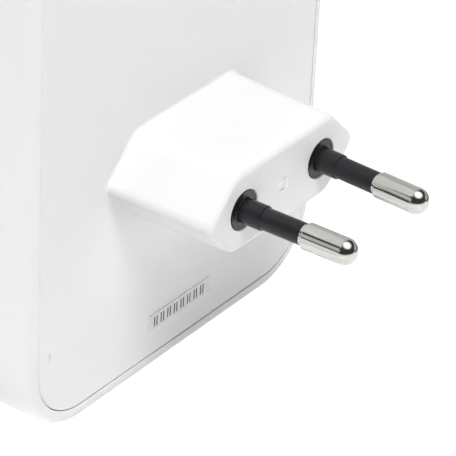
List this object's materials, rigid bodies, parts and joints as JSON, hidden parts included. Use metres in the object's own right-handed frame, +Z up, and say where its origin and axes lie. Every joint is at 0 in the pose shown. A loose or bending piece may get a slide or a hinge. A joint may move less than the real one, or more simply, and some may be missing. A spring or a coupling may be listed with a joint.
{
  "type": "wifi range extender",
  "caption": "Wall-plug wifi range extender: rounded upright housing with a fixed two-pin europlug on its back, a network socket below and a pairing button in front.",
  "frame": {"origin": "centre of the plug's flat front face, between the two pins, where the plug seats in a wall socket", "axes": "+Y points out of the plug face towards the wall socket, +Z is up along the housing's length, +X is to the left when the back is looked at"},
  "size_m": [0.069, 0.0676, 0.11],
  "materials": {
    "housing_white": "satin moulded white plastic",
    "cover_white": "fine matt moulded white plastic",
    "panel_white": "polished white plastic",
    "button_white": "satin white plastic",
    "clear_pipe": "frosted clear plastic",
    "insulator_black": "glossy black moulded insulation",
    "nickel": "nickel plate, drawn along its length",
    "brass": "stamped strip",
    "board_green": "solder mask over fibreglass",
    "component_black": "moulded package",
    "ferrite": "pressed ferrite",
    "winding_tape": "polyester tape over copper",
    "capacitor_sleeve": "shrink sleeve over aluminium",
    "ceramic_blue": "dipped ceramic",
    "steel": "plated steel",
    "aluminium": "extruded",
    "led_lens": "cast lens",
    "thermal_pad": "soft silicone",
    "insulating_film": "polycarbonate film"
  },
  "bodies": {
    "housing": {"front_housing": "housing_white", "front_panel": "panel_white", "rear_cover": "cover_white", "wps_switch_body": "component_black", "reset_switch_body": "component_black", "signal_light_pipe": "clear_pipe", "status_light_pipe": "clear_pipe", "power_led": "led_lens", "link_led": "led_lens", "plug_pin_left": "nickel", "plug_pin_right": "nickel", "pin_sleeve_left": "insulator_black", "pin_sleeve_right": "insulator_black", "pin_contact_left": "brass", "pin_contact_right": "brass", "pin_carrier": "insulator_black", "power_board": "board_green", "fuse": "component_black", "varistor": "ceramic_blue", "bridge_rectifier": "component_black", "line_choke": "ferrite", "bulk_capacitor_1": "capacitor_sleeve", "bulk_capacitor_2": "capacitor_sleeve", "switching_controller": "component_black", "y_capacitor": "ceramic_blue", "optocoupler": "component_black", "transformer_core": "ferrite", "transformer_winding": "winding_tape", "output_capacitor_1": "capacitor_sleeve", "output_capacitor_2": "capacitor_sleeve", "output_inductor": "ferrite", "output_diode": "component_black", "power_link_header": "component_black", "power_link_socket": "component_black", "insulating_sheet": "insulating_film", "main_board": "board_green", "processor": "component_black", "thermal_pad": "thermal_pad", "memory_chip": "component_black", "flash_chip": "component_black", "ethernet_transformer": "component_black", "rf_shield_can": "steel", "radio_chip": "component_black", "heat_sink": "aluminium", "antenna_left": "brass", "antenna_right": "brass", "ethernet_jack": "component_black", "jack_contacts": "brass", "signal_led_1": "led_lens", "signal_led_2": "led_lens", "signal_led_3": "led_lens", "signal_led_4": "led_lens", "main_board_screw_1": "steel", "main_board_screw_2": "steel", "main_board_screw_3": "steel", "power_board_screw_1": "steel", "power_board_screw_2": "steel"},
    "wps_button": {"wps_button": "button_white", "wps_switch_plunger": "insulator_black"},
    "reset_button": {"reset_plunger": "insulator_black"}
  },
  "joints": [
    {"name": "wps_button_slide", "type": "slide", "parent": "housing", "child": "wps_button", "axis": [0, 1, 0], "range_m": [0, 0.0005], "stiffness_N_per_m": 1200, "springref_m": -0.0004},
    {"name": "reset_button_slide", "type": "slide", "parent": "housing", "child": "reset_button", "axis": [0, 0, 1], "range_m": [0, 0.0003], "stiffness_N_per_m": 1500, "springref_m": -0.0003}
  ]
}
